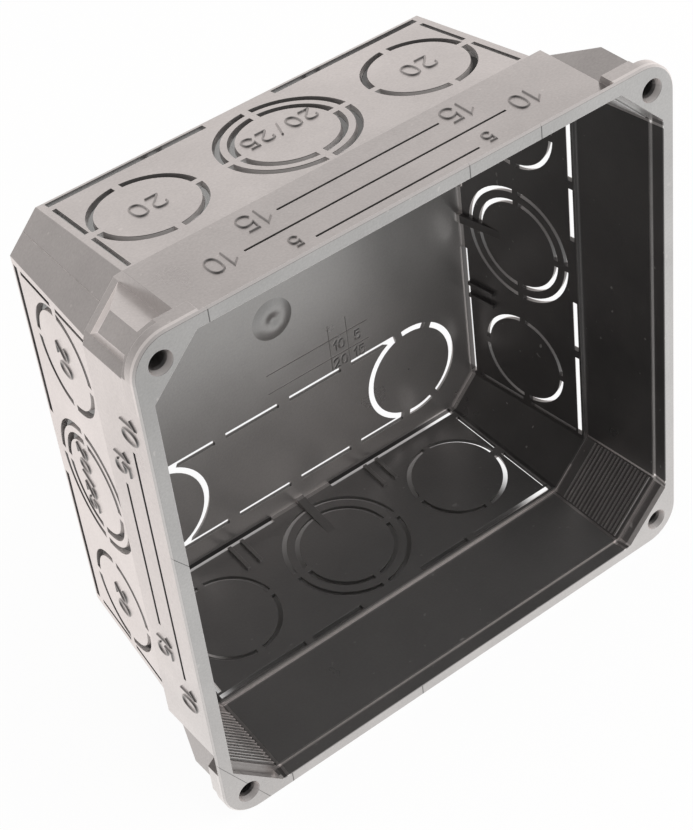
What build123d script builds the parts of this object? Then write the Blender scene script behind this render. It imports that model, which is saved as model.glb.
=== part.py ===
import os
from math import atan, cos, degrees, radians, sin, sqrt, tan

from build123d import *

# Flush junction box, moulded in one piece: a tapered square box with cut corners,
# a wider collar in front of it, screw lugs in the collar's corners, and slots in
# every wall that leave round break-outs held by narrow ties.
# Modelled lying on its back, with the opening up, then turned to its place in the wall.

# Conduit break-outs
small_conduit = 20.0        # diameter of the small conduit
large_conduit = 25.0        # diameter of the large conduit
conduit_room = 0.15         # radial room between a conduit and its hole
slot_width = 1.31           # width of a break-out slot at the outer face
slot_lean = 0.2             # how far each slot wall leans in, for each millimetre of depth
tie_width = 1.36            # bars that hold a break-out until it is knocked out
break_out_gap = 4.94        # panel left between neighbouring break-outs
back_margin = 2.87          # panel left behind the largest break-out
front_margin = 0.48         # panel left in front of the largest break-out
edge_margin = 1.83          # panel left between the outer break-outs and the cut corner

# Panels and back wall
panel_wall = 1.07
back_wall = 0.78
panel_draft = 6.6           # degrees
corner_leg = 6.26           # cut corner, along each side of the back

# Collar and rim
collar_depth = 21.35
collar_step = 1.65          # how far the collar stands out from the panels
collar_ramp = 1.85          # height over which the panels widen to the collar
collar_flare = 0.25         # how far the collar widens from its back edge to the rim
rim_lip = 2.305             # how far the rim stands out from the collar
rim_lip_depth = 2.8         # where the collar starts to widen to the rim, below the rim
rim_edge = 0.4              # straight outer edge of the rim
collar_overlap = 1.61       # height over which collar and panel walls join
inner_ledge = 0.73          # shelf inside, where the collar is wider than the panels
inner_leg = 8.73            # cut corner of the collar's inside, at the shelf
rim_width = 2.67            # flat rim, from its outer edge to the rebate
rim_radius = 6.8            # rounded corner of the rim
rim_bevel = 0.35
rebate_depth = 2.76
rebate_ledge = 0.34
rebate_leg = 9.12

# Screw lugs
screw_inset = 5.0           # screw axis, from each outer side of the rim
screw_radius = 1.55
screw_mouth_radius = 2.18
screw_mouth_depth = 1.55
screw_depth = 9.2
lug_flange = 2.42           # full corner just behind the rim
lug_ridge_end = 12.2        # back end of the lug's ridge, below the rim
lug_ridge_width = 3.8
pocket_front = 6.8          # front end of a pocket's floor, below the rim
pocket_end = 3.45           # where a pocket's slope runs out at the rim's outline, below the rim
pocket_lean = 0.95          # how far the fin's end face leans out at the pocket's floor
pocket_wall = 0.58          # wall between a pocket's floor and the inside
corner_step = 0.39          # step where the lug's ramp starts on the cut corner
lug_start = 0.73            # back end of the lug's ramp, in front of the collar's back edge

# Slots along the edges of the panels
back_slot_low = 0.49        # outer edges of the slot along the back, from the back face
back_slot_high = 1.84
back_slot_rise = 0.29       # how much higher the slot's front edge is inside
back_slot_start = 7.1       # from the middle of the panel
back_slot_end = 1.42        # from the cut corner
side_slot_web = 1.38        # wall left between the slot and the cut corner
side_slot_width = 0.82
side_slot_start = 3.3       # from the back face
side_slot_end = 0.45        # from the foot of the collar's ramp
side_slot_tie = 2.13
step_slot_spans = [(7.1, 18.7), (20.4, 39.8)]
step_slot_low = 1.56        # edges of the opening inside, below the shelf
step_slot_high = 0.46
step_slot_drop = 1.09       # how much lower the slot is outside
step_slot_turns = [1, 2, 3]  # sides that have these slots: all but the upper one

# Depth lines on the collar, from the rim
depth_lines = [15.0, 10.0, 5.0]
depth_line_reach = [16.2, 26.0, 16.2]
depth_line_width = 0.44
side_line_width = 0.68
side_line_count = 2
depth_line_depth = 0.3

# Twin break-out in the back wall
twin_height = 29.6          # its middle line, below the box's middle
twin_reach = 29.9           # its two end circles, from the box's middle
twin_radius_in = 9.5        # slot of an end circle, at the inner face
twin_radius_out = 10.67
twin_bevel_in = 1.07        # how much wider the slot is at the outer face
twin_bevel_out = 0.39
twin_tie_angles = [61.0, 102.5]
twin_tie_width = 1.65
dash_width = 1.21
dash_pitch = 14.84
dash_tie = 2.52
dash_merge = 3.25           # where the last dash runs into the end circle

# Ribs inside, on the panels: two pairs in front of the back slot, and a wedge in the middle
rib_width = 0.78
rib_height = 0.68
rib_bite = 0.2              # how deep a rib is rooted in the wall
rib_reach = 8.65            # front end of the ribs, from the back face
rib_middle = 16.6
rib_pair = 2.9
wedge_width = 1.85
wedge_height = 0.87
wedge_reach = 11.05

over = 0.6                  # how far a cutter runs past the wall that it cuts
root2 = sqrt(2)
cut_rate = 2 - root2        # growth of a cut corner's leg for each millimetre of offset

# Sizes worked out from these
small_hole = small_conduit / 2 + conduit_room
large_hole = large_conduit / 2 + conduit_room
break_out_pitch = large_hole + break_out_gap + small_hole
break_out_height = back_margin + large_hole
panel_depth = break_out_height + large_hole + front_margin
depth = panel_depth + collar_depth

panel_slope = tan(radians(panel_draft))
flat_half = break_out_pitch + small_hole + edge_margin
back_half = flat_half + corner_leg
panel_front_half = back_half + panel_depth * panel_slope
collar_back_half = panel_front_half + collar_step
collar_half = collar_back_half + collar_flare
rim_half = collar_half + rim_lip
collar_draft = degrees(atan(collar_flare / (collar_depth - collar_ramp)))

wall_across = panel_wall / cos(radians(panel_draft))
shelf_height = panel_depth + collar_overlap
shelf_half = back_half + shelf_height * panel_slope - wall_across + inner_ledge
rebate_half = rim_half - rim_width
rebate_height = depth - rebate_depth
inner_slope = (rebate_half - rebate_ledge - shelf_half) / (rebate_height - shelf_height)
inner_draft = degrees(atan(inner_slope))
fin_half = rebate_half - rebate_leg
screw_at = rim_half - screw_inset


def cut_square(half, leg, height):
    """Square with cut corners, lying at the given height."""
    square = Rectangle(2 * half, 2 * half)
    return Pos(0, 0, height) * chamfer(square.vertices(), leg)


def tapered_square(half, leg, low, high, draft):
    """Block with cut corners that widens by the draft from low to high."""
    return extrude(cut_square(half, leg, low), amount=high - low, taper=-draft)


def around(piece):
    """The same piece on each of the four sides."""
    return [Rot(0, 0, 90 * turn) * piece for turn in range(4)]


def both_ways(piece):
    """The piece and its mirror image across the middle of the panel."""
    return [piece, mirror(piece, about=Plane.YZ)]


def beyond(first, second, third, inside):
    """Everything on the far side of the plane through three points."""
    first = Vector(*first)
    normal = (Vector(*second) - first).cross(Vector(*third) - first)
    if normal.dot(Vector(*inside) - first) > 0:
        normal = normal * -1
    size = 2 * rim_half
    block = Box(size, size, size, align=(Align.CENTER, Align.CENTER, Align.MIN))
    return Plane(origin=first, z_dir=normal) * block


def inner_corner_sum(height):
    """x + y on the inside of the collar's cut corner."""
    shelf_sum = 2 * shelf_half - inner_leg
    return shelf_sum + (height - shelf_height) * inner_slope * root2


def screw_lug():
    """The collar's corner: rim flange, ridge round the screw, and a pocket on each side."""
    middle = (screw_at, screw_at, depth - lug_flange)
    outline = RectangleRounded(2 * rim_half, 2 * rim_half, rim_radius)
    lug_back = panel_depth + lug_start
    block = extrude(Pos(0, 0, lug_back) * outline, amount=depth - lug_back)

    # The pockets between the fins, seen from the front: each floor meets a leaning fin at its foot
    foot = fin_half + pocket_lean
    foot_side = inner_corner_sum(depth - pocket_front) + pocket_wall * root2 - foot
    reach = 2 * rim_half
    far = foot - (reach - foot_side) * pocket_lean / (collar_half - foot_side)
    pocket_outline = Polyline(
        (far, reach), (foot, foot_side), (foot_side, foot), (reach, far), (reach, reach), close=True
    )
    pocket = extrude(Pos(0, 0, panel_depth) * make_face(pocket_outline), amount=collar_depth)

    # The ridge lies on the chord of the rim's rounded corner
    ridge_sum = 2 * rim_half - rim_radius
    ridge_side = lug_ridge_width / 2 / root2
    ridge = (ridge_sum / 2 - ridge_side, ridge_sum / 2 + ridge_side)
    ridge_end = (*ridge, depth - lug_ridge_end)
    other_end = (*ridge[::-1], depth - lug_ridge_end)
    ridge_front = (*ridge, depth)
    ridge_back = beyond(ridge_end, other_end, ridge_front, middle)
    below_flange = Box(reach, reach, depth - lug_flange, align=Align.MIN)

    # The ramp rises from the cut corner of the panels to the ridge
    corner_sum = 2 * back_half - corner_leg + (lug_back * panel_slope + corner_step) * root2
    ramp_foot = (corner_sum / 2, corner_sum / 2, lug_back)
    ramp = beyond(ridge_end, other_end, ramp_foot, middle)

    # Each pocket has a flat floor, and slopes up to the flange
    slope_foot = (foot, foot_side, depth - pocket_front)
    slope_top = (foot, rim_half, depth - pocket_end)
    slope_across = (ridge[0], foot_side, depth - pocket_front)
    floor = beyond(ridge_end, ridge_front, slope_foot, middle)
    slope = beyond(slope_foot, slope_top, slope_across, middle)
    scoop = floor & slope
    other_scoop = mirror(scoop, about=Plane(origin=(0, 0, 0), z_dir=(1, -1, 0)))

    lug = block & pocket
    lug -= ridge_back & below_flange
    lug -= ramp
    lug -= scoop
    lug -= other_scoop
    return lug, pocket


def rim_flare():
    """The collar widening to the rim, and the rim's straight edge."""
    height = rim_lip_depth - rim_edge
    flare_square = Pos(0, 0, depth - rim_lip_depth) * Rectangle(2 * collar_half, 2 * collar_half)
    flare = extrude(flare_square, amount=height, taper=-degrees(atan(rim_lip / height)))
    edge_square = Pos(0, 0, depth - rim_edge) * Rectangle(2 * rim_half, 2 * rim_half)
    return flare + extrude(edge_square, amount=rim_edge)


def outer_form():
    """Panels, collar and lugs as one solid block, with its rim bevelled."""
    panels = tapered_square(back_half, corner_leg, 0, shelf_height, panel_draft)
    ramp_square = Pos(0, 0, panel_depth) * Rectangle(2 * panel_front_half, 2 * panel_front_half)
    collar = extrude(ramp_square, amount=collar_ramp, taper=-degrees(atan(collar_step / collar_ramp)))
    collar_square = Pos(0, 0, panel_depth + collar_ramp) * Rectangle(2 * collar_back_half, 2 * collar_back_half)
    collar += extrude(collar_square, amount=collar_depth - collar_ramp, taper=-collar_draft)
    collar += rim_flare()
    lug, pocket = screw_lug()
    collar -= around(pocket)
    form = panels + collar + around(lug)

    outline = RectangleRounded(2 * rim_half, 2 * rim_half, rim_radius)
    crown = extrude(Pos(0, 0, depth - rim_bevel) * outline, amount=rim_bevel, taper=45)
    slab = Pos(0, 0, depth - rim_bevel) * Box(
        4 * rim_half, 4 * rim_half, rim_bevel, align=(Align.CENTER, Align.CENTER, Align.MIN)
    )
    return form - (slab - crown)


def hollow():
    """The inside: panels, collar and the rebate in the rim."""
    inner_half = back_half + back_wall * panel_slope - wall_across
    inner_leg_back = corner_leg + cut_rate * (back_wall * panel_slope - wall_across)
    room = tapered_square(inner_half, inner_leg_back, back_wall, shelf_height + over, panel_draft)
    room += tapered_square(shelf_half, inner_leg, shelf_height, rebate_height + over, inner_draft)
    room += extrude(cut_square(rebate_half, rebate_leg, rebate_height), amount=rebate_depth + over)
    return room


def screw_hole():
    """Blind pilot hole with a conical mouth."""
    bore = Cylinder(screw_radius, screw_depth, align=(Align.CENTER, Align.CENTER, Align.MAX))
    mouth = Pos(0, 0, -screw_mouth_depth / 2) * Cone(screw_radius, screw_mouth_radius, screw_mouth_depth)
    return Pos(screw_at, screw_at, depth) * (bore + mouth)


def ring_slot(inner, outer, inner_lean, outer_lean, wall):
    """Ring-shaped slot through a wall whose outer face is at zero height."""
    top = over
    bottom = -wall - over
    section = Polyline(
        (inner - inner_lean * top, top),
        (outer + outer_lean * top, top),
        (outer + outer_lean * bottom, bottom),
        (inner - inner_lean * bottom, bottom),
        close=True,
    )
    return revolve(Plane.XZ * make_face(section), Axis.Z)


def break_out(holes):
    """Slots of one break-out, a ring for each hole that it can be opened to."""
    length = 3 * large_hole
    ties = Box(length, tie_width, length) + Box(tie_width, length, length)
    rings = [ring_slot(hole - slot_width, hole, slot_lean, slot_lean, panel_wall) - ties for hole in holes]
    return Part() + rings


def panel_plane(inset):
    """Plane of a side panel: zero at its back edge, with y towards the rim."""
    lean = radians(panel_draft)
    return Plane(
        origin=(0, back_half - inset / cos(lean), 0), x_dir=(-1, 0, 0), z_dir=(0, cos(lean), -sin(lean))
    )


def along_panel(section_points, start, end):
    """Bar with a section across the panel, from start to end along it."""
    bar = extrude(Plane.YZ * make_face(Polyline(*section_points, close=True)), amount=end - start)
    return Pos(start, 0, 0) * bar


def side_slots():
    """Slots beside the cut corner, in line with its edge, with a tie at the break-outs."""
    face = panel_plane(0)
    edge_rate = 1 - cut_rate
    spans = [
        (side_slot_start, break_out_height - side_slot_tie / 2),
        (break_out_height + side_slot_tie / 2, panel_depth - side_slot_end),
    ]
    slots = []
    for low, high in spans:
        low_edge = flat_half + edge_rate * low * panel_slope - side_slot_web
        high_edge = flat_half + edge_rate * high * panel_slope - side_slot_web
        outline = Polyline(
            (low_edge - side_slot_width, low),
            (low_edge, low),
            (high_edge, high),
            (high_edge - side_slot_width, high),
            close=True,
        )
        slots.append(face * Pos(0, 0, over) * extrude(make_face(outline), amount=-panel_wall - 2 * over))
    return slots


def panel_slots():
    """Everything cut through one side panel."""
    face = panel_plane(0)
    cuts = [
        face * Pos(0, break_out_height, 0) * break_out([small_hole, large_hole]),
        face * Pos(break_out_pitch, break_out_height, 0) * break_out([small_hole]),
        face * Pos(-break_out_pitch, break_out_height, 0) * break_out([small_hole]),
    ]
    for slot in side_slots():
        cuts += both_ways(slot)

    back_inside = back_half - wall_across - over
    back_section = [
        (back_half + over, back_slot_low),
        (back_half + over, back_slot_high),
        (back_inside, back_slot_high + back_slot_rise),
        (back_inside, back_wall),
    ]
    cuts += both_ways(along_panel(back_section, back_slot_start, flat_half - back_slot_end))

    return cuts


def step_slots():
    """Slots through one panel just behind the shelf, lower outside than inside."""
    rate = step_slot_drop / wall_across
    inside = panel_front_half - wall_across
    section = []
    for half, low, high in [
        (inside - over, step_slot_low, step_slot_high),
        (panel_front_half + over, step_slot_high, step_slot_low),
    ]:
        fall = rate * (half - inside)
        section += [(half, shelf_height - low - fall), (half, shelf_height - high - fall)]
    slots = []
    for start, end in step_slot_spans:
        slots += both_ways(along_panel(section, start, end))
    return slots


def collar_lines(count, width):
    """Engraved depth lines across one side of the collar."""
    face = Plane(
        origin=(0, collar_half, depth),
        x_dir=(-1, 0, 0),
        z_dir=(0, cos(radians(collar_draft)), -sin(radians(collar_draft))),
    )
    lines = []
    for below, reach in list(zip(depth_lines, depth_line_reach))[:count]:
        along = below / cos(radians(collar_draft))
        lines.append(face * Pos(0, -along, 0) * Box(2 * reach, width, 2 * depth_line_depth))
    return lines


def back_slots():
    """Twin break-out in the back wall: two end circles joined by dashed slots."""
    flip = Rot(180, 0, 0)
    circle = flip * ring_slot(
        twin_radius_in - twin_bevel_in,
        twin_radius_out + twin_bevel_out,
        twin_bevel_in / back_wall,
        twin_bevel_out / back_wall,
        back_wall,
    )
    for angle in twin_tie_angles:
        for turn in (angle, -angle):
            tie = Pos(twin_radius_out, 0, 0) * Box(twin_radius_out, twin_tie_width, twin_radius_out)
            circle -= Rot(0, 0, turn) * tie
    line = (twin_radius_in + twin_radius_out) / 2
    ends = [
        (dash_tie / 2, dash_pitch - dash_tie / 2),
        (dash_pitch + dash_tie / 2, twin_reach - dash_merge),
    ]
    cuts = both_ways(Pos(twin_reach, -twin_height, 0) * circle)
    for start, end in ends:
        dash = Box(end - start, dash_width, 2 * back_wall + 2 * over)
        for side in (line, -line):
            cuts += both_ways(Pos((start + end) / 2, side - twin_height, 0) * dash)
    return cuts


def panel_ribs():
    """Ribs on the inside of one panel, those in the pairs straight and the middle one a wedge."""
    face = panel_plane(panel_wall)
    start = back_slot_high + back_slot_rise
    ribs = []
    for place in (rib_middle + rib_pair / 2, rib_middle - rib_pair / 2):
        rib = Box(
            rib_width, rib_reach - start, rib_height + rib_bite, align=(Align.CENTER, Align.MIN, Align.MAX)
        )
        ribs += both_ways(face * Pos(place, start, rib_bite) * rib)
    wedge_side = Polyline(
        (back_wall / 2, rib_bite),
        (wedge_reach, rib_bite),
        (wedge_reach, 0),
        (back_wall / 2, -wedge_height),
        close=True,
    )
    ribs.append(face * extrude(Plane.YZ * make_face(wedge_side), amount=wedge_width / 2, both=True))
    return ribs


def junction_box():
    """The whole moulding, with its opening up."""
    box = outer_form() - hollow()
    box -= around(screw_hole())
    cuts = back_slots()
    for cut in panel_slots():
        cuts += around(cut)
    for slot in step_slots():
        cuts += [Rot(0, 0, 90 * turn) * slot for turn in step_slot_turns]
    for line in collar_lines(len(depth_lines), depth_line_width):
        cuts += [line, Rot(0, 0, 180) * line]
    for line in collar_lines(side_line_count, side_line_width):
        cuts += [Rot(0, 0, 90) * line, Rot(0, 0, 270) * line]
    box -= cuts
    for rib in panel_ribs():
        box += around(rib)
    return box


# In the wall the box stands on one side, with its opening to the front
in_wall = Pos(0, depth / 2, rim_half) * Rot(90, 0, 0)
moulding = in_wall * junction_box()
moulding.label = "junction_box"

os.makedirs("parts", exist_ok=True)
export_step(moulding, "parts/junction_box.step")
print("screw spacing", round(2 * screw_at, 3), "depth", round(depth, 3), "rim", round(2 * rim_half, 3))
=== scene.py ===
import bpy
from math import cos, radians, sin, sqrt
from mathutils import Matrix, Vector


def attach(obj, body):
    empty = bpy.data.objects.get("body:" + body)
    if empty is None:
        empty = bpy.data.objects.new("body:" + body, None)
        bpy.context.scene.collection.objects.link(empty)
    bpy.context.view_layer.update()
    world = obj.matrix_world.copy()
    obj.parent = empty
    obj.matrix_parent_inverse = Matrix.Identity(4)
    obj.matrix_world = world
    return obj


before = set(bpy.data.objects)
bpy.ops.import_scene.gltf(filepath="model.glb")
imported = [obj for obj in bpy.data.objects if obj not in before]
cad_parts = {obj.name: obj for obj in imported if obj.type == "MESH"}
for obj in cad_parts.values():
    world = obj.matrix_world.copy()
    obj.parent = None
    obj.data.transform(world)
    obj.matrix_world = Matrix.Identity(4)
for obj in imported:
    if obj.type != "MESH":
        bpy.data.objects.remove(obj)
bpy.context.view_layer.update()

mm = 0.001
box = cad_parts["junction_box"]

# the box's own sizes in mm, as its walls are built; heights are from its back face
wall = {
    "depth": 50.0,
    "middle": 53.5,           # height of the box's axis above the floor
    "backHalf": 45.98,
    "draft": radians(6.6),
    "collarHalf": 51.195,
    "collarLean": 0.25 / 19.5,
    "shelf": 30.26,
    "rebate": 47.24,
    "cornerSum": 89.538,      # x + z on the collar's inner cut corner, at the shelf
    "cornerRate": 0.07985,
    "cornerLeg": 8.73,
    "cornerSlope": 0.11292,       # growth of x + z there, for each mm of height
    "backWall": 0.78,
    "backLeg": 6.26,              # leg of the outer cut corner, at the back face
    "panelSlope": 0.115704,       # growth of a wall's distance from the axis
    "cutSlope": 0.16363,          # growth of x + z on the outer cut corner
}
toAxis = Matrix.Translation((0, 0, wall["middle"] * mm))
axisTurn = [toAxis @ Matrix.Rotation(radians(90 * n), 4, "Y") @ toAxis.inverted() for n in range(4)]

# camera, solved from the photograph's straight edges
view = {
    "place": (-157.16, -240.43, 295.80),
    "right": (0.784, -0.6127, -0.0995),
    "up": (0.4636, 0.4713, 0.7503),
    "back": (-0.4128, -0.6344, 0.6536),
    "focal": 2148.08,
    "centre": (352.64, 408.17),
    "image": (693, 830),
}
camData = bpy.data.cameras.new("photoCamera")
cam = bpy.data.objects.new("photoCamera", camData)
bpy.context.scene.collection.objects.link(cam)
turn = Matrix((view["right"], view["up"], view["back"])).transposed().to_4x4()
cam.matrix_world = Matrix.Translation(Vector(view["place"]) * mm) @ turn
wide, high = view["image"]
camData.sensor_fit = "VERTICAL"
camData.sensor_height = 36
camData.lens = view["focal"] * camData.sensor_height / high
camData.shift_x = (wide / 2 - view["centre"][0]) / high
camData.shift_y = (view["centre"][1] - high / 2) / high
camData.clip_start = 0.01
bpy.context.scene.camera = cam
bpy.context.scene.view_settings.view_transform = "Standard"
print("camera set")


# one socket of a node tree, which can stand in a sum
class Wire:
    def __init__(self, tree, socket=None):
        self.tree = tree
        self.socket = socket

    def node(self, kind, settings, inputs, out=0):
        made = self.tree.nodes.new("ShaderNode" + kind)
        for key, value in settings.items():
            if key == "stops":
                ramp = made.color_ramp
                while len(ramp.elements) < len(value):
                    ramp.elements.new(0.5)
                for stop, (place, shade) in zip(ramp.elements, value):
                    stop.position = place
                    stop.color = (shade, shade, shade, 1)
            else:
                setattr(made, key, value)
        for key, value in inputs.items():
            if isinstance(value, Wire):
                self.tree.links.new(value.socket, made.inputs[key])
            else:
                made.inputs[key].default_value = value
        return Wire(self.tree, made.outputs[out] if made.outputs else None)

    def calc(self, operation, first, second):
        return self.node("Math", {"operation": operation}, {0: first, 1: second})

    def __add__(self, other):
        return self.calc("ADD", self, other)

    def __radd__(self, other):
        return self.calc("ADD", other, self)

    def __sub__(self, other):
        return self.calc("SUBTRACT", self, other)

    def __rsub__(self, other):
        return self.calc("SUBTRACT", other, self)

    def __mul__(self, other):
        return self.calc("MULTIPLY", self, other)

    def __rmul__(self, other):
        return self.calc("MULTIPLY", other, self)

    def __lt__(self, other):
        return self.calc("LESS_THAN", self, other)

    def __gt__(self, other):
        return self.calc("GREATER_THAN", self, other)

    def __abs__(self):
        return self.calc("ABSOLUTE", self, 0.0)


def newTree(name):
    mat = bpy.data.materials.new(name)
    mat.use_nodes = True
    mat.node_tree.nodes.clear()
    return mat, Wire(mat.node_tree)


# satin black moulding: a deep black that turns pale where it is seen along the surface
plastic = {
    "colour": (0.024, 0.0235, 0.0235, 1),
    "worn": (0.048, 0.046, 0.045, 1),
    "wornShare": 0.35,
    "dust": (0.40, 0.39, 0.38, 1),
    "dustShare": 0.3,
    "shine": (0.99, 0.96, 0.95, 1),
    "paintedBounce": (0.080, 0.080, 0.079, 1),   # paler coat on the back wall: painted light bounced in from the front
    "paintedBounceLower": 0.55,                  # share of that painted bounced light on the lower inside wall
    "paintedLightGrey": (0.3, 0.29, 0.285, 1),     # painted light: pale slot walls on the upper and left walls, and a painted highlight on the rim's outer edge
    "roughness": 0.30,
    "roughCloud": 0.14,
    "roughDust": 0.2,
    "cloudScale": 70.0,
    "grainScale": 2400.0,
    "speckScale": 900.0,
    "bump": 0.10,
    "bumpDepth": 0.0002,          # m
    "edge": 0.00011,              # soft edge of the moulding, m
    "slantMost": 0.78,            # the paling grows no further than this
    "mottleCloud": 0.35,
    "mottleGrain": 0.3,
}
paling = {                        # how strongly each zone pales; past the plain sheen outside, these shares paint light and shade: painted light on the rim, the lower inside walls, the grip ribs and the shelf, painted highlights on the rib tops, the rebate ledge and the lower shelf, painted shade on the inside, the grooves, the raised numerals and the cut corner at -X
    "outside": 0.92,
    "corner": 0.62,
    "rim": 1.12,
    "inside": 0.105,
    "lower": 0.38,
    "grip": 0.4,
    "ridge": 1.5,
    "shelf": 0.34,
    "shelfLow": 0.95,
    "ledge": 0.7,
    "raised": 0.5,
    "groove": 0.3,
}
zones = {                         # where the zones of painted light and shade lie, mm; heights are from the back face
    "collar": 30.6,
    "lug": 29.6,
    "skin": 0.12,                 # depth of the outer skin
    "skinMore": 0.88,             # more of it on the upper and left walls, so that their slot walls take the outside's sheen as painted light
    "cutSkin": 0.17,
    "lugSkin": 0.4,
    "slotSide": (0.06, 0.72),     # from and to, as in the other pairs
    "backFace": (0.72, 1.5),
    "cornerIn": 2.2,              # reach of the cut corners inside, on the panels and on the collar
    "lugIn": 1.2,
    "grip": 30.4,
    "ridge": 0.66,
    "shelf": (29.95, 30.55),
    "rimEdgeHighlight": (49.0, 49.97),
    "ledge": 0.3,                 # each way from the rebate
    "rimFace": 0.3,
    "cutBand": 0.15,
    "cutTop": 29.5,
    "panelIn": 0.4,
    "panelTop": 28.4,
    "collarBand": (30.9, 46.5),
    "collarReach": 36,
    "slotReach": 39,
    "slotPaintedLight": (12.0, 21.0),
    "slotLeast": 0.1,             # share of the painted light at the start of that
    "slotDepth": 0.1,
    "grooveDepth": 0.05,
    "raisedOver": 0.04,
}
witness = {                       # thin mould lines across the rim
    "wide": 0.1,                  # half of it, mm
    "from": 40,
    "dark": 0.8,
    "lines": [("X", 0, 24.8, 1), ("X", 0, 10.1, 1), ("X", 0, -39.4, 1), ("X", 0, -39.5, -1),
              ("X", 0, -9.9, -1), ("Z", 1.31, -4.6, -1), ("Z", 1.73, -76.8, -1)],  # axis, slope, place, side
}


def pick(first, second, mask):
    return first + (second - first) * mask


def within(value, limits):
    return (value > limits[0]) * (value < limits[1])


# masks for the zones whose sheen share paints light and shade
def zoneMasks(pen, apart):
    aside = abs(apart["X"])
    rise = apart["Z"] - wall["middle"]
    above = abs(rise)
    height = wall["depth"] / 2 - apart["Y"]          # from the back face
    square = pen.calc("MAXIMUM", aside, above)
    nearest = pen.calc("MINIMUM", aside, above)
    corner = aside + above
    collar = height > zones["collar"]
    lug = height > zones["lug"]

    # the outer faces, and how deep the core side lies behind them
    # deeper on the upper and left walls, so that their slot walls are painted as lit
    skin = zones["skin"] + (rise > apart["X"]) * zones["skinMore"]
    panelSplit = wall["backHalf"] + height * wall["panelSlope"] - skin
    collarSplit = wall["collarHalf"] - (wall["depth"] - height) * wall["collarLean"] - skin
    split = pick(panelSplit, collarSplit, collar)
    outer = split + skin
    panelCut = 2 * wall["backHalf"] - wall["backLeg"] + height * wall["cutSlope"]
    lugCut = wall["cornerSum"] + zones["lugSkin"] + (height - wall["shelf"]) * wall["cornerSlope"]
    core = (square < split) * (corner < pick(panelCut - zones["cutSkin"], lugCut, lug))

    # inside
    mask = {}
    mask["slotSide"] = core * within(height, zones["slotSide"])
    mask["backFace"] = core * within(height, zones["backFace"])
    inside = core * (height > zones["backFace"][1])
    mask["inside"] = inside
    cornerIn = inside * (corner > pick(panelCut - zones["cornerIn"], lugCut - zones["lugIn"], lug))
    below = wall["middle"] - apart["Z"] > aside
    # lower inside walls paler than the rest of the inside: painted light
    mask["lower"] = inside * below * (1 - cornerIn)
    mask["grip"] = cornerIn * (height > zones["grip"])
    # rib tops brighter: painted highlight
    mask["ridge"] = mask["grip"] * (corner < lugCut - zones["ridge"])
    mask["shelf"] = core * within(height, zones["shelf"])
    # lower shelf brighter: painted highlight
    mask["shelfLow"] = mask["shelf"] * below
    # bright line along the rebate ledge: painted highlight
    mask["ledge"] = core * (abs(height - wall["rebate"]) < zones["ledge"])

    # rim and outside
    # band along the rim's outer edge: painted highlight
    mask["rimEdgeHighlight"] = within(height, zones["rimEdgeHighlight"]) * (1 - core)
    # rim brighter: painted light
    mask["rim"] = (height > wall["depth"] - zones["rimFace"]) * (1 - inside)
    onCut = (abs(corner - panelCut) < zones["cutBand"]) * (height < zones["cutTop"])
    # cut corner at -X only, darker: painted shade
    mask["corner"] = onCut * (apart["X"] < 0)
    onPanel = (corner < panelCut - zones["panelIn"]) * (height < zones["panelTop"]) * (1 - core)
    onCollar = (nearest < zones["collarReach"]) * within(height, zones["collarBand"]) * (1 - core)
    # slot walls of the upper and left walls, painted paler towards the rim: painted light
    low, high = zones["slotPaintedLight"]
    nearRim = pen.node("MapRange", {}, {0: height, 1: low, 2: high, 3: zones["slotLeast"], 4: 1.0})
    slots = (square < outer - zones["slotDepth"]) * (nearest < zones["slotReach"])
    mask["slotBand"] = onPanel * slots * nearRim
    # grooves darker: painted shade
    mask["groove"] = onCollar * (square < outer - zones["grooveDepth"])
    # raised numerals darker: painted shade
    mask["raised"] = (onPanel + onCollar) * (square > outer + zones["raisedOver"])
    nick = 0
    for axis, slope, place, side in witness["lines"]:
        other = rise if axis == "X" else apart["X"]
        line = abs(apart[axis] + other * slope - place) < witness["wide"]
        nick = line * (other * side > witness["from"]) + nick
    mask["nick"] = mask["rim"] * nick
    return mask


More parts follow.
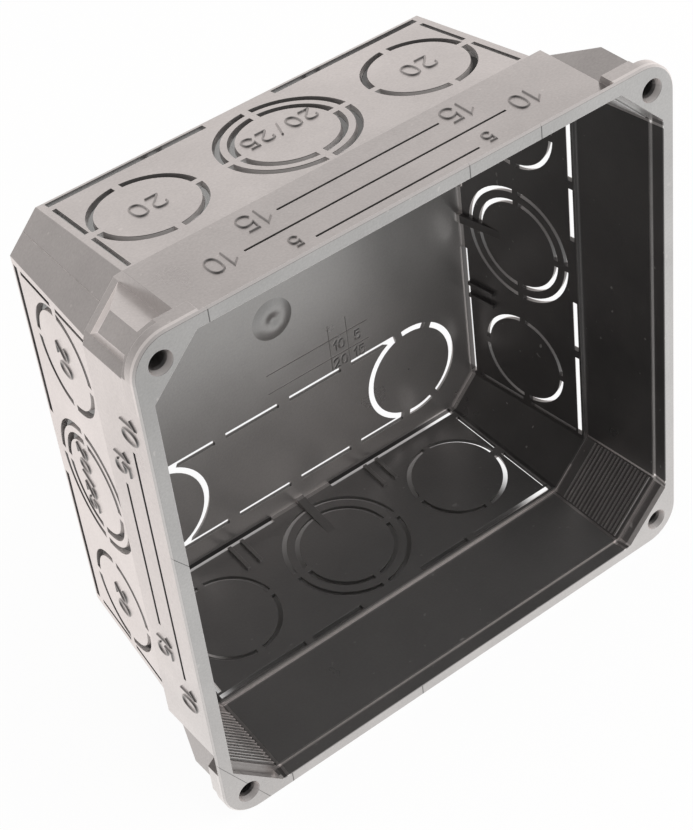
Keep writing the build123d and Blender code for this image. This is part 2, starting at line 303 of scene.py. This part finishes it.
def plasticFinish():
    mat, pen = newTree("blackMoulding")
    at = pen.node("TexCoord", {}, {}, out="Object")
    apart = {axis: pen.node("SeparateXYZ", {}, {"Vector": at}, out=axis) * (1 / mm) for axis in "XYZ"}
    mask = zoneMasks(pen, apart)

    # each zone takes over from the one under it, painting its light or shade into the sheen's share
    zone = paling["outside"] + (mask["inside"] + mask["slotSide"]) * (paling["inside"] - paling["outside"])
    for name, under in [("lower", "inside"), ("grip", "inside"), ("ridge", "grip"), ("shelf", "inside"),
                        ("shelfLow", "shelf"), ("ledge", "inside"), ("corner", "outside"),
                        ("rim", "outside"), ("groove", "outside"), ("raised", "outside")]:
        zone = zone + mask[name] * (paling[name] - paling[under])
    zone = zone * (1 - mask["nick"] * witness["dark"])

    def mixed(share, first, second):
        return pen.node("Mix", {"data_type": "RGBA"}, {0: share, 6: first, 7: second}, out=2)

    soft = pen.node("Bevel", {"samples": 6}, {"Radius": plastic["edge"]})
    cloud = pen.node("TexNoise", {}, {"Vector": at, "Scale": plastic["cloudScale"], "Detail": 4.0,
                                      "Roughness": 0.6})
    grain = pen.node("TexNoise", {}, {"Vector": at, "Scale": plastic["grainScale"], "Detail": 2.0})
    specks = pen.node("TexNoise", {}, {"Vector": at, "Scale": plastic["speckScale"], "Detail": 0.0})
    dustSpots = pen.node("ValToRGB", {"stops": [(0.82, 0.0), (0.85, 1.0)]}, {"Fac": specks})
    patches = pen.node("ValToRGB", {"stops": [(0.42, 0.0), (0.68, 1.0)]}, {"Fac": cloud})
    colour = mixed(patches * plastic["wornShare"], plastic["colour"], plastic["worn"])
    colour = mixed(dustSpots * plastic["dustShare"], colour, plastic["dust"])
    # the back wall and the lower inside walls take a paler colour: painted bounced light
    colour = mixed(mask["backFace"] + mask["lower"] * plastic["paintedBounceLower"], colour, plastic["paintedBounce"])
    # pale grey on those slot walls and on the rim's outer edge: painted light and a painted highlight
    colour = mixed(mask["slotBand"] + mask["rimEdgeHighlight"], colour, plastic["paintedLightGrey"])
    rough = plastic["roughness"] + (cloud - 0.5) * plastic["roughCloud"] + dustSpots * plastic["roughDust"]
    bump = pen.node("Bump", {}, {"Strength": plastic["bump"], "Distance": plastic["bumpDepth"],
                                 "Height": grain * 0.6 + cloud * 0.4, "Normal": soft})
    body = pen.node("BsdfPrincipled", {}, {"Base Color": colour, "Roughness": rough, "IOR": 1.45,
                                           "Normal": bump})
    shine = pen.node("BsdfGlossy", {}, {"Color": plastic["shine"], "Roughness": rough, "Normal": bump})
    facing = pen.node("LayerWeight", {}, {"Blend": 0.5, "Normal": bump}, out="Facing")
    slant = pen.calc("MINIMUM", facing, plastic["slantMost"])
    mottle = 1 + (cloud - 0.5) * plastic["mottleCloud"] + (grain - 0.5) * plastic["mottleGrain"]
    both = pen.node("MixShader", {}, {0: slant * zone * mottle, 1: body, 2: shine})
    pen.node("OutputMaterial", {}, {"Surface": both})
    return mat


blackMoulding = plasticFinish()
for slot in box.material_slots:
    slot.material = blackMoulding
print("plastic on", len(box.material_slots), "slots")


def clearSelection():
    bpy.ops.object.select_all(action="DESELECT")


def only(piece):
    clearSelection()
    piece.select_set(True)
    bpy.context.view_layer.objects.active = piece


def joined(parts, name):
    only(parts[0])
    for part in parts:
        part.select_set(True)
    bpy.ops.object.join()
    parts[0].name = name
    return parts[0]


def copyTurned(piece, name, matrix):
    twin = piece.copy()
    twin.data = piece.data.copy()
    twin.name = name
    bpy.context.scene.collection.objects.link(twin)
    twin.data.transform(matrix)
    return twin


def carry(piece):
    piece.data.materials.clear()
    piece.data.materials.append(blackMoulding)
    only(piece)
    bpy.ops.object.shade_smooth_by_angle(angle=radians(30))
    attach(piece, "root")


# raised numerals, each figure drawn as pen strokes in a cell one high
numerals = {
    "foot": 0.29,                 # half the stroke's width, mm
    "top": 0.08,                  # half the width of its flat top
    "rise": 0.27,
    "sunk": 0.06,
    "gap": 0.32,                  # between figures, as a share of the height
    "panel": [("20", -27.7, 15.5, 4.0), ("20/25", 0.2, 13.0, 3.5), ("20", 27.7, 15.5, 4.0)],
    "topCollar": [("15", 20.3, 15.3, 4.1), ("10", 30.2, 10.2, 3.9), ("5", 19.1, 6.2, 2.5),
                  ("15", -20.3, 15.3, 4.1), ("10", -30.2, 10.2, 3.9), ("5", -19.1, 6.2, 2.5)],
    "sideCollar": [("15", 21.1, 14.8, 4.0), ("10", 30.6, 10.0, 4.2),
                   ("15", -21.1, 14.8, 4.0), ("10", -30.6, 10.0, 4.2)],
}
figures = {
    "0": (0.60, [("round", [(0.0, 0.0), (0.0, 1.0), (0.60, 1.0), (0.60, 0.0)])]),
    "1": (0.32, [("straight", [(0.0, 0.72), (0.3, 1.0), (0.3, 0.0)])]),
    "2": (0.58, [("bent", [(0.0, 0.72), (0.0, 1.0), (0.56, 1.02), (0.6, 0.62), (0.3, 0.36), (0.0, 0.0)]),
                 ("straight", [(0.0, 0.0), (0.58, 0.0)])]),
    "5": (0.58, [("straight", [(0.54, 1.0), (0.08, 1.0), (0.02, 0.5)]),
                 ("bent", [(0.02, 0.5), (0.2, 0.66), (0.6, 0.62), (0.62, 0.02), (0.1, -0.06), (0.0, 0.18)])]),
    "/": (0.4, [("straight", [(0.0, -0.04), (0.4, 1.04)])]),
}


def strokeProfile():              # flat top and sloping sides
    shape = bpy.data.curves.new("strokeProfile", "CURVE")
    shape.dimensions = "2D"
    ring = shape.splines.new("POLY")
    foot, top = numerals["foot"], numerals["top"]
    low, high = -numerals["sunk"], numerals["rise"]
    corners = [(-foot, low), (-top, high), (top, high), (foot, low)]
    ring.points.add(len(corners) - 1)
    for dot, (x, y) in zip(ring.points, corners):
        dot.co = (x * mm, y * mm, 0, 1)
    ring.use_cyclic_u = True
    made = bpy.data.objects.new("strokeProfile", shape)
    bpy.context.scene.collection.objects.link(made)
    return made


profile = strokeProfile()


def strokeWord(word, height):
    lines = bpy.data.curves.new("numeral", "CURVE")
    lines.dimensions = "2D"
    lines.fill_mode = "NONE"
    lines.bevel_mode = "OBJECT"
    lines.bevel_object = profile
    lines.use_fill_caps = True
    lines.resolution_u = 5
    total = sum(figures[c][0] for c in word) + numerals["gap"] * (len(word) - 1)
    along = -total / 2
    for c in word:
        width, strokes = figures[c]
        for kind, points in strokes:
            spline = lines.splines.new("POLY" if kind == "straight" else "NURBS")
            spline.points.add(len(points) - 1)
            for dot, (x, y) in zip(spline.points, points):
                dot.co = ((along + x) * height * mm, (y - 0.5) * height * mm, 0, 1)
            if kind == "round":
                spline.use_cyclic_u = True
            if kind == "bent":
                spline.use_endpoint_u = True
            if kind != "straight":
                spline.order_u = 3
        along += width + numerals["gap"]
    word3d = bpy.data.objects.new("numeral", lines)
    bpy.context.scene.collection.objects.link(word3d)
    only(word3d)
    bpy.ops.object.convert(target="MESH")
    made = bpy.context.view_layer.objects.active
    only(made)
    bpy.ops.object.mode_set(mode="EDIT")
    bpy.ops.mesh.select_all(action="SELECT")
    bpy.ops.mesh.remove_doubles(threshold=0.00001)
    bpy.ops.mesh.normals_make_consistent(inside=False)
    bpy.ops.object.mode_set(mode="OBJECT")
    return made


def facePlace(across, y, z, lean):
    # text runs towards -X on the upper wall, with its top towards the rim
    up = Vector((0, -cos(lean), sin(lean)))
    out = Vector((0, sin(lean), cos(lean)))
    right = up.cross(out)
    m = Matrix((right, up, out)).transposed().to_4x4()
    m.translation = Vector((across, y, z)) * mm
    return m


def panelPlace(across, along):
    lean = wall["draft"]
    y = wall["depth"] / 2 - along * cos(lean)
    z = wall["middle"] + wall["backHalf"] + along * sin(lean)
    return facePlace(across, y, z, lean)


def collarPlace(across, below):
    y = below - wall["depth"] / 2
    z = wall["middle"] + wall["collarHalf"] - below * wall["collarLean"]
    return facePlace(across, y, z, wall["collarLean"])


def wallNumerals(name, collarSet):
    parts = []
    for word, across, along, height in numerals["panel"]:
        part = strokeWord(word, height)
        part.data.transform(panelPlace(across, along))
        parts.append(part)
    for word, across, below, height in collarSet:
        part = strokeWord(word, height)
        part.data.transform(collarPlace(-across, below))
        parts.append(part)
    return joined(parts, name)


topNumerals = wallNumerals("numeralsTop", numerals["topCollar"])
bottomNumerals = copyTurned(topNumerals, "numeralsBottom", axisTurn[2])
sideNumerals = wallNumerals("numeralsLeft", numerals["sideCollar"])
rightNumerals = copyTurned(sideNumerals, "numeralsRight", axisTurn[1])
sideNumerals.data.transform(axisTurn[3])
for piece in (topNumerals, bottomNumerals, sideNumerals, rightNumerals):
    carry(piece)
print("numerals raised")


# a bar one long, narrowed at its top, that ribs and lines are made of
def taperedBar(wideFoot, wideTop, rise, cuts):
    clearSelection()
    bpy.ops.mesh.primitive_cube_add(size=1, location=(0, 0, 0))
    bar = bpy.context.object
    bpy.ops.object.mode_set(mode="EDIT")
    bpy.ops.mesh.select_all(action="SELECT")
    bpy.ops.transform.resize(value=(1, wideFoot * mm, rise * mm))
    bpy.ops.mesh.select_all(action="DESELECT")
    bpy.ops.object.mode_set(mode="OBJECT")
    for face in bar.data.polygons:
        face.select = face.normal.z > 0.9
    bpy.ops.object.mode_set(mode="EDIT")
    bpy.ops.mesh.select_mode(type="FACE")
    bpy.ops.transform.resize(value=(1, wideTop / wideFoot, 1))
    bpy.ops.object.mode_set(mode="OBJECT")
    for edge in bar.data.edges:
        a, b = [bar.data.vertices[v].co for v in edge.vertices]
        edge.select = abs(a.x - b.x) > 0.5
    bpy.ops.object.mode_set(mode="EDIT")
    bpy.ops.mesh.select_mode(type="EDGE")
    if cuts:
        bpy.ops.mesh.subdivide_edgering(number_cuts=cuts, smoothness=0)
    bpy.ops.object.mode_set(mode="OBJECT")
    return bar


def cornerPlace(sumAt, rate, height, inward):
    # on a cut corner at +X and up: x along the corner's width, y towards the rim, z off the surface
    to = Vector((rate / sqrt(2), -1, rate / sqrt(2))).normalized()
    off = Vector((1, rate * sqrt(2), 1)).normalized() * (-1 if inward else 1)
    m = Matrix((to.cross(off), to, off)).transposed().to_4x4()
    m.translation = Vector((sumAt / 2, wall["depth"] / 2 - height, wall["middle"] + sumAt / 2)) * mm
    return m


# plain raised grid with plain numbers on the inside of the back wall
grid = {
    "foot": 0.30, "top": 0.12, "rise": 0.22, "sunk": 0.06,
    "level": [(42.0, -2.9, 20.8), (37.7, -3.1, 20.8)],      # z, from x, to x
    "upright": [(11.77, 34.7, 45.5), (16.0, 34.7, 45.5)],   # x, from z, to z
    "numbers": [("10", 13.9, 39.9), ("5", 18.3, 39.9), ("20", 13.9, 35.9), ("15", 18.3, 35.9)],
    "height": 2.0,
}


def backPlace(x, z, along, across):
    m = Matrix((along, across, Vector((0, -1, 0)))).transposed().to_4x4()
    m.translation = Vector((x, wall["depth"] / 2 - wall["backWall"], z)) * mm
    return m


def backGrid():
    east = Vector((1, 0, 0))
    north = Vector((0, 0, 1))
    rows = [((a + b) / 2, z, b - a, east, north) for z, a, b in grid["level"]]
    rows += [(x, (a + b) / 2, b - a, north, -east) for x, a, b in grid["upright"]]
    bar = taperedBar(grid["foot"], grid["top"], grid["rise"], 0)
    lift = Matrix.Translation((0, 0, (grid["rise"] / 2 - grid["sunk"]) * mm))
    parts = []
    for x, z, length, along, across in rows:
        stretch = Matrix.Diagonal((length * mm, 1, 1, 1))
        parts.append(copyTurned(bar, "gridBar", backPlace(x, z, along, across) @ lift @ stretch))
    bpy.data.objects.remove(bar)
    for word, x, z in grid["numbers"]:
        part = strokeWord(word, grid["height"])
        part.data.transform(backPlace(x, z, east, north))
        parts.append(part)
    return joined(parts, "backGrid")


carry(backGrid())
bpy.data.objects.remove(profile)
print("grid raised")


# fine ribs across the inside of each cut corner of the collar
gripRibs = {
    "count": 17, "pitch": 0.85, "first": 32.7,
    "foot": 0.66, "top": 0.30, "rise": 0.34, "sunk": 0.08,
    "short": 0.2,                 # how much shorter a rib is than the corner is wide, mm
    "wobble": (2.3, 0.05),        # pace and size of the unevenness in place
    "uneven": (1.7, 0.08),        # and in length
}


def gripCorner():
    parts = []
    rib = taperedBar(gripRibs["foot"], gripRibs["top"], gripRibs["rise"], 3)
    lift = Matrix.Translation((0, 0, (gripRibs["rise"] / 2 - gripRibs["sunk"]) * mm))
    wobblePace, wobble = gripRibs["wobble"]
    unevenPace, uneven = gripRibs["uneven"]
    for k in range(gripRibs["count"]):
        height = gripRibs["first"] + k * gripRibs["pitch"] + sin(k * wobblePace) * wobble
        grown = (height - wall["shelf"]) * wall["cornerRate"]
        sumAt = wall["cornerSum"] + grown * sqrt(2)
        width = (wall["cornerLeg"] + (2 - sqrt(2)) * grown) * sqrt(2)
        length = width - gripRibs["short"] + sin(k * unevenPace) * uneven
        part = copyTurned(rib, "gripRib", Matrix.Diagonal((length * mm, 1, 1, 1)))
        part.data.transform(cornerPlace(sumAt, wall["cornerRate"], height, True) @ lift)
        parts.append(part)
    bpy.data.objects.remove(rib)
    return joined(parts, "gripRibs")


firstGrip = gripCorner()
grips = [firstGrip] + [copyTurned(firstGrip, "gripRibs" + str(n), axisTurn[n]) for n in (1, 2, 3)]
for piece in grips:
    carry(piece)
print("grip ribs set")


# thin flash where the mould halves met, along the outer cut corners
flash = {
    "foot": 0.22, "top": 0.05, "rise": 0.16, "sunk": 0.05,
    "start": 0.5, "end": 28.9, "cuts": 46,
    "ragged": 0.00006, "seed": 4,  # m
}


def flashLine():
    bar = taperedBar(flash["foot"], flash["top"], flash["rise"], flash["cuts"])
    length = flash["end"] - flash["start"]
    bar.data.transform(Matrix.Diagonal((length * mm, 1, 1, 1)))
    only(bar)
    bpy.ops.object.mode_set(mode="EDIT")
    bpy.ops.mesh.select_all(action="SELECT")
    bpy.ops.transform.vertex_random(offset=flash["ragged"], uniform=0.0, normal=0.0, seed=flash["seed"])
    bpy.ops.object.mode_set(mode="OBJECT")
    height = (flash["start"] + flash["end"]) / 2
    rate = wall["panelSlope"]
    sumAt = 2 * wall["backHalf"] - wall["backLeg"] + height * rate * sqrt(2)
    lay = Matrix.Rotation(radians(90), 4, "Z")
    lift = Matrix.Translation((0, 0, (flash["rise"] / 2 - flash["sunk"]) * mm))
    bar.data.transform(cornerPlace(sumAt, rate, height, False) @ lift @ lay)
    bar.name = "flashLine"
    return bar


firstFlash = flashLine()
flashes = [firstFlash] + [copyTurned(firstFlash, "flashLine" + str(n), axisTurn[n]) for n in (1, 2, 3)]
for piece in flashes:
    carry(piece)
print("flash lines set")


# soft round swelling that the moulding gate left in the middle of the back wall
gate = {
    "place": (0.2, 0.4),          # off the box's axis, x and z
    "sides": 48,
    "rings": [(4.6, -0.04), (4.0, 0.10), (3.2, 0.30), (2.3, 0.42), (1.4, 0.36), (0.7, 0.16),
              (0.25, 0.08)],      # radius, height
}


def gateMark():
    clearSelection()
    radius, level = gate["rings"][0]
    bpy.ops.mesh.primitive_circle_add(vertices=gate["sides"], radius=radius * mm, fill_type="NGON",
                                      location=(0, 0, 0))
    mark = bpy.context.object
    bpy.ops.object.mode_set(mode="EDIT")
    bpy.ops.mesh.select_all(action="SELECT")
    bpy.ops.transform.translate(value=(0, 0, level * mm))
    for (outer, low), (inner, high) in zip(gate["rings"], gate["rings"][1:]):
        bpy.ops.mesh.inset(thickness=(outer - inner) * mm)
        bpy.ops.transform.translate(value=(0, 0, (high - low) * mm))
    bpy.ops.object.mode_set(mode="OBJECT")
    inside = wall["depth"] / 2 - wall["backWall"]
    x, z = gate["place"]
    place = Matrix.Translation(Vector((x, inside, wall["middle"] + z)) * mm)
    mark.data.transform(place @ Matrix.Rotation(radians(90), 4, "X"))
    mark.name = "gateMark"
    return mark


carry(gateMark())
print("gate mark set")


# floor, painted dark under the box as painted shadow, and a plain white surround
ground = {
    "warm": (1.0, 0.945, 0.92, 1),
    "cool": (0.985, 1.0, 0.99, 1),
    "tintFrom": 0.03, "tintTo": -0.06,         # y, m
    "cloth": (0.9, 0.9, 0.9, 1),
    # grey under the box: painted shadow on the floor, seen through the lower wall's slots
    "under": (0.3, 0.3, 0.3, 1),
    "halfWide": 0.042, "behind": 0.037, "before": 0.019, "fade": 0.008,  # reach of the painted shadow under the box, m
    "white": 0.95,                # the rest shows the object's shadow
}


def floorFinish():
    mat, pen = newTree("paleFloor")
    mat.cycles.emission_sampling = "NONE"
    seen = pen.node("LightPath", {}, {}, out="Is Camera Ray")
    glossy = pen.node("LightPath", {}, {}, out="Is Glossy Ray")
    at = pen.node("TexCoord", {}, {}, out="Object")
    across = pen.node("SeparateXYZ", {}, {"Vector": at}, out="X")
    along = pen.node("SeparateXYZ", {}, {"Vector": at}, out="Y")
    beyond = pen.calc("MAXIMUM", along - ground["behind"], -ground["before"] - along)
    clear = pen.calc("MAXIMUM", abs(across) - ground["halfWide"], beyond)
    lit = pen.node("MapRange", {"interpolation_type": "SMOOTHSTEP"},
                   {0: clear, 1: -ground["fade"], 2: 0.0, 3: 0.0, 4: 1.0})
    front = pen.node("MapRange", {}, {0: along, 1: ground["tintFrom"], 2: ground["tintTo"], 3: 0.0, 4: 1.0})
    tint = pen.node("Mix", {"data_type": "RGBA"}, {0: front, 6: ground["warm"], 7: ground["cool"]}, out=2)
    # the floor's colour turns grey under the box: painted shadow
    pale = pen.node("Mix", {"data_type": "RGBA"}, {0: lit, 6: ground["under"], 7: ground["cloth"]}, out=2)
    cloth = pen.node("BsdfDiffuse", {}, {"Color": pale})
    white = pen.node("Emission", {}, {"Color": (1, 1, 1, 1), "Strength": 1.0})
    glow = pen.node("Emission", {}, {"Color": tint, "Strength": 1.0})
    base = pen.node("MixShader", {}, {0: glossy * lit, 1: cloth, 2: glow})
    both = pen.node("MixShader", {}, {0: seen * lit * ground["white"], 1: base, 2: white})
    pen.node("OutputMaterial", {}, {"Surface": both})
    return mat


clearSelection()
bpy.ops.mesh.primitive_plane_add(size=6, location=(0, 0, 0))
floor = bpy.context.object
floor.name = "floor"
floor.data.materials.append(floorFinish())

studio = {"glow": (1.0, 0.945, 0.92, 1), "fill": 0.7}
world = bpy.data.worlds.new("whiteStudio")
bpy.context.scene.world = world
world.use_nodes = True
world.cycles.sampling_method = "NONE"
world.node_tree.nodes.clear()
pen = Wire(world.node_tree)
seen = pen.node("LightPath", {}, {}, out="Is Camera Ray")
glossy = pen.node("LightPath", {}, {}, out="Is Glossy Ray")
shade = pen.node("Mix", {"data_type": "RGBA"}, {0: seen, 6: studio["glow"], 7: (1, 1, 1, 1)}, out=2)
level = pen.calc("MAXIMUM", seen, glossy)
room = pen.node("Background", {}, {"Color": shade, "Strength": level * (1 - studio["fill"]) + studio["fill"]})
pen.node("OutputWorld", {}, {"Surface": room})

lamps = [                         # name, place in m, size in m, watts, colour
    ("keyLamp", (-0.75, 0.25, 0.55), 0.7, 0.8, (1.0, 0.96, 0.94)),
    ("fillLamp", (0.45, -0.55, 0.62), 1.2, 6.5, (0.98, 0.99, 1.0)),
]
for name, place, size, watts, colour in lamps:
    lampData = bpy.data.lights.new(name, "AREA")
    lampData.size = size
    lampData.energy = watts
    lampData.color = colour
    lamp = bpy.data.objects.new(name, lampData)
    bpy.context.scene.collection.objects.link(lamp)
    lamp.location = place
    lamp.visible_glossy = False       # the gloss shows the white room, not the lamps
    aim = Vector((0, 0, wall["middle"] * mm)) - Vector(place)
    lamp.rotation_euler = aim.to_track_quat("-Z", "Y").to_euler()
print("floor and light set")
